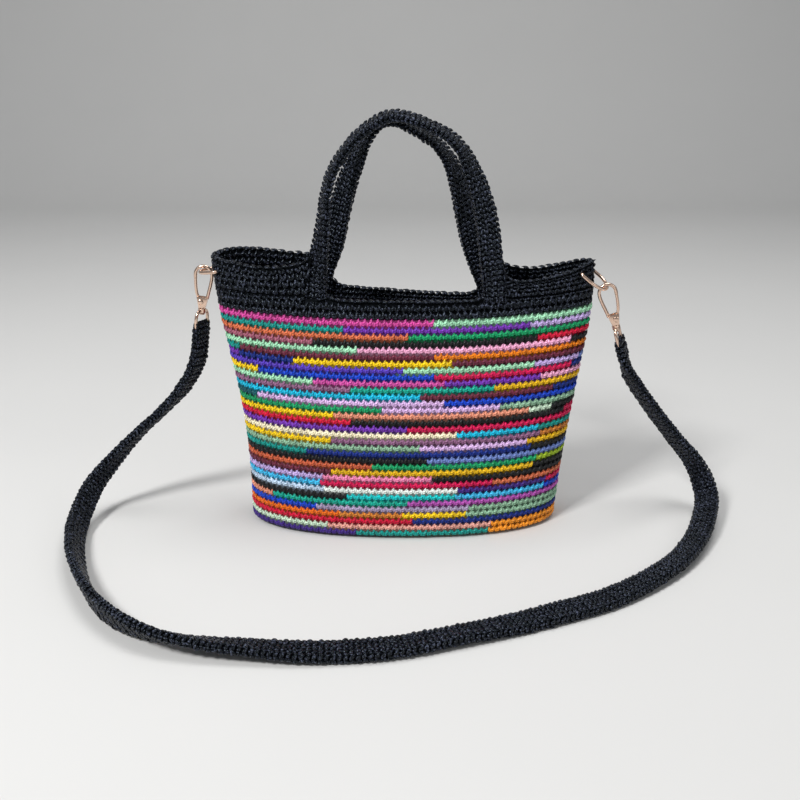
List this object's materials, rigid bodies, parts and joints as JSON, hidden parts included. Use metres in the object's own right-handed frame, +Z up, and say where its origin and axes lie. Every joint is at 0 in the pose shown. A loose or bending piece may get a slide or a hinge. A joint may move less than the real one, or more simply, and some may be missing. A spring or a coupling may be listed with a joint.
{
  "type": "shoulder bag",
  "caption": "Crocheted oval-base bag in multicolour stripes with a black top band, carrying handles and a shoulder strap on swivel snap hooks.",
  "frame": {"origin": "centre of the flat oval base, on the surface that the bag stands on", "axes": "+Z up through the mouth, +X along the bag's length to the viewer's right, -Y out of the front"},
  "size_m": [0.4775, 0.2415, 0.2929],
  "materials": {
    "striped_yarn": "matte",
    "black_yarn": "matte",
    "rose_gold": "gloss"
  },
  "bodies": {
    "bag": {"crochet_body": "striped_yarn", "top_band": "black_yarn", "handle_front": "black_yarn", "handle_back": "black_yarn", "strap": "black_yarn", "swivel_eye_left": "rose_gold", "swivel_eye_right": "rose_gold"},
    "ring_left": {"ring_left": "rose_gold"},
    "hook_left": {"hook_frame_left": "rose_gold", "gate_rivet_left": "rose_gold"},
    "gate_left": {"hook_gate_left": "rose_gold"},
    "ring_right": {"ring_right": "rose_gold"},
    "hook_right": {"hook_frame_right": "rose_gold", "gate_rivet_right": "rose_gold"},
    "gate_right": {"hook_gate_right": "rose_gold"}
  },
  "joints": [
    {"name": "ring_left_swing", "type": "hinge", "parent": "bag", "child": "ring_left", "pos_m": [-0.1235, 0, 0.1875], "axis": [-0.4067, -0.9135, 0], "range_deg": [0, 12]},
    {"name": "hook_left_swivel", "type": "hinge", "parent": "bag", "child": "hook_left", "pos_m": [-0.14036, 0.00765, 0.18759], "axis": [0.1184, 0, 0.993], "range_deg": [-45, 15]},
    {"name": "gate_left_open", "type": "hinge", "parent": "hook_left", "child": "gate_left", "pos_m": [-0.14429, 0.00765, 0.16227], "axis": [0, 1, 0], "range_deg": [0, 24], "stiffness_Nm_per_rad": 0.05, "springref_deg": -20.05},
    {"name": "ring_right_swing", "type": "hinge", "parent": "bag", "child": "ring_right", "pos_m": [0.127, 0, 0.186], "axis": [0.4067, 0.9135, 0], "range_deg": [0, 6]},
    {"name": "hook_right_swivel", "type": "hinge", "parent": "bag", "child": "hook_right", "pos_m": [0.14019, -0.00625, 0.17745], "axis": [-0.309, 0, 0.9511], "range_deg": [-45, 5]},
    {"name": "gate_right_open", "type": "hinge", "parent": "hook_right", "child": "gate_right", "pos_m": [0.14896, -0.00625, 0.15338], "axis": [0, -1, 0], "range_deg": [0, 24], "stiffness_Nm_per_rad": 0.05, "springref_deg": -20.05}
  ]
}
